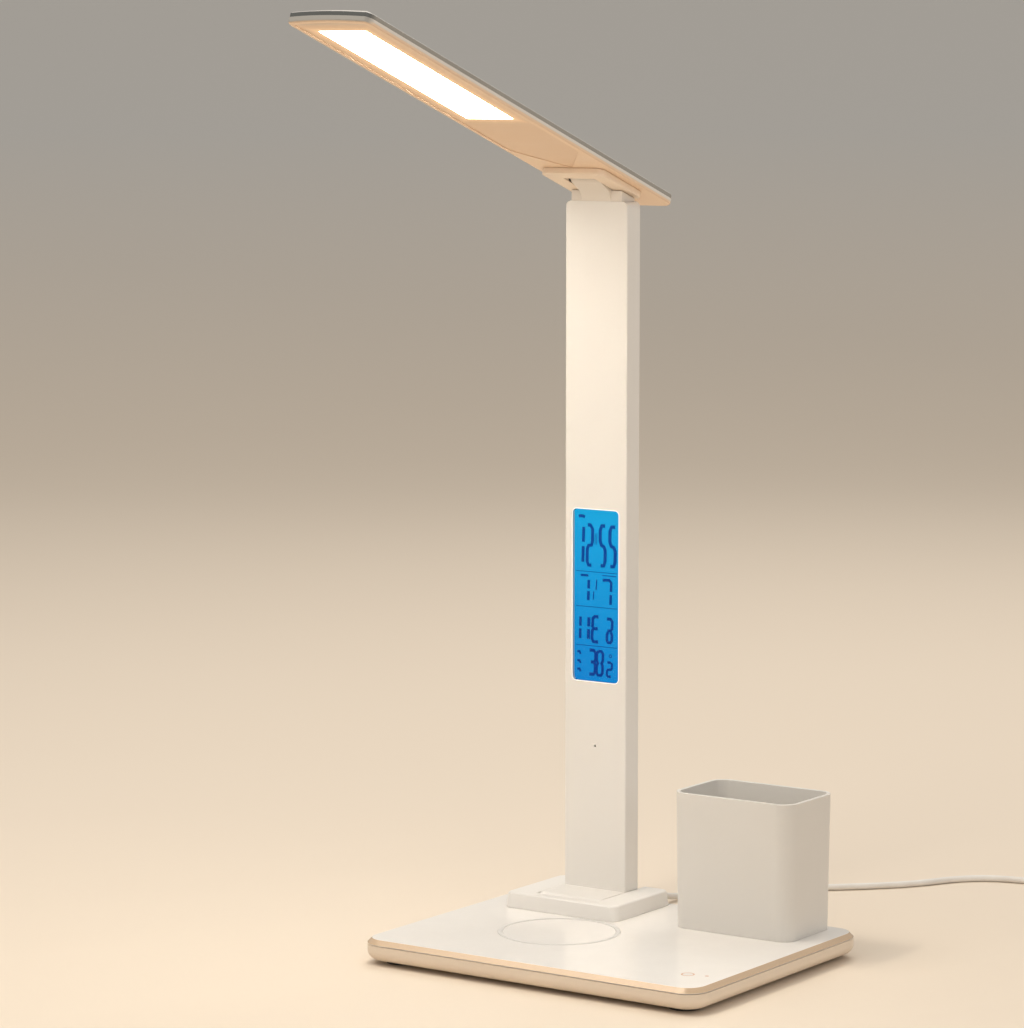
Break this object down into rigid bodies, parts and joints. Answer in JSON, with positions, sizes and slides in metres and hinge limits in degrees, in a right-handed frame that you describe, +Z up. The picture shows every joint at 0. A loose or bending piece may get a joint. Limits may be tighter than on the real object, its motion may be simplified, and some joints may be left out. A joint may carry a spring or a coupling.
{
  "type": "desk lamp",
  "caption": "Folding LED desk lamp on a flat charging base, with a clock in its slim stem, a pen cup beside it and a power cord.",
  "frame": {"origin": "middle of the base on the surface it stands on, at the underside of the middle rubber foot", "axes": "+Z up, +X to the right along the base's front edge, +Y to the back; the lamp head points to -Y"},
  "size_m": [0.317, 0.5105, 0.4751],
  "materials": {
    "cream_shell": "satin",
    "white_shell": "satin",
    "cup_white": "satin",
    "grey_rubber": "matte",
    "pale_rubber": "matte",
    "steel": "plain",
    "bright_metal": "bright",
    "aluminium_sheet": "plain",
    "copper": "enamelled wire",
    "ferrite": "matte",
    "circuit_board": "lacquered",
    "black_plastic": "matte",
    "button_plastic": "satin",
    "clear_window": "clear",
    "blue_display": "lit",
    "white_diffuser": "frosted",
    "clear_guide": "clear",
    "white_film": "matte",
    "led_yellow": "matte",
    "dark_trim": "satin",
    "cord_white": "satin",
    "tie_grey": "matte"
  },
  "bodies": {
    "base": {"base_lower_shell": "cream_shell", "base_top_cover": "white_shell", "base_feet": "grey_rubber", "base_screws": "steel", "steel_weight": "steel", "grip_ring": "pale_rubber", "charging_coil": "copper", "ferrite_sheet": "ferrite", "charger_board": "circuit_board", "charger_parts": "black_plastic", "touch_board": "circuit_board", "power_socket": "steel", "socket_board": "circuit_board", "hinge_platform": "white_shell", "fold_bracket": "steel", "fold_pin": "steel", "fold_nut": "steel", "fold_washers": "steel", "cord_plug": "cord_white", "cord_plug_tip": "bright_metal", "cord_relief": "cord_white", "cord_run": "cord_white", "cord_coil": "cord_white", "coil_tie": "tie_grey", "far_plug": "cord_white", "far_plug_tip": "bright_metal"},
    "stem": {"stem_foot": "white_shell", "stem_front_shell": "white_shell", "stem_back_cover": "white_shell", "stem_screws": "steel", "stem_wire": "black_plastic", "neck": "white_shell", "clock_window": "clear_window", "clock_display": "blue_display", "clock_backlight": "white_diffuser", "clock_board": "circuit_board", "coin_cell": "steel", "clock_switches": "black_plastic", "temperature_sensor": "black_plastic"},
    "set_button": {"clock_set_button": "button_plastic"},
    "up_button": {"clock_up_button": "button_plastic"},
    "down_button": {"clock_down_button": "button_plastic"},
    "head": {"head_lower_frame": "cream_shell", "head_band": "dark_trim", "head_top_cover": "white_shell", "hinge_pad": "cream_shell", "light_panel": "white_diffuser", "light_guide": "clear_guide", "reflector": "white_film", "led_strips": "circuit_board", "led_lamps": "led_yellow", "heat_plate": "aluminium_sheet", "tilt_bracket": "steel", "tilt_pin": "steel", "tilt_nut": "steel", "tilt_washers": "steel", "bracket_screws": "steel"},
    "cup": {"pen_cup": "cup_white"}
  },
  "joints": [
    {"name": "stem_fold", "type": "hinge", "parent": "base", "child": "stem", "pos_m": [-0.047, 0.035, 0.0163], "axis": [1, 0, 0], "range_deg": [0, 90]},
    {"name": "head_tilt", "type": "hinge", "parent": "stem", "child": "head", "pos_m": [-0.047, 0.0491, 0.3934], "axis": [1, 0, 0], "range_deg": [0, 109.2]},
    {"name": "cup_lift", "type": "slide", "parent": "base", "child": "cup", "axis": [0, 0, 1], "range_m": [0, 0.08]},
    {"name": "set_button_press", "type": "slide", "parent": "stem", "child": "set_button", "axis": [0, -1, 0], "range_m": [0, 0.0005], "stiffness_N_per_m": 600},
    {"name": "up_button_press", "type": "slide", "parent": "stem", "child": "up_button", "axis": [0, -1, 0], "range_m": [0, 0.0005], "stiffness_N_per_m": 600},
    {"name": "down_button_press", "type": "slide", "parent": "stem", "child": "down_button", "axis": [0, -1, 0], "range_m": [0, 0.0005], "stiffness_N_per_m": 600}
  ]
}
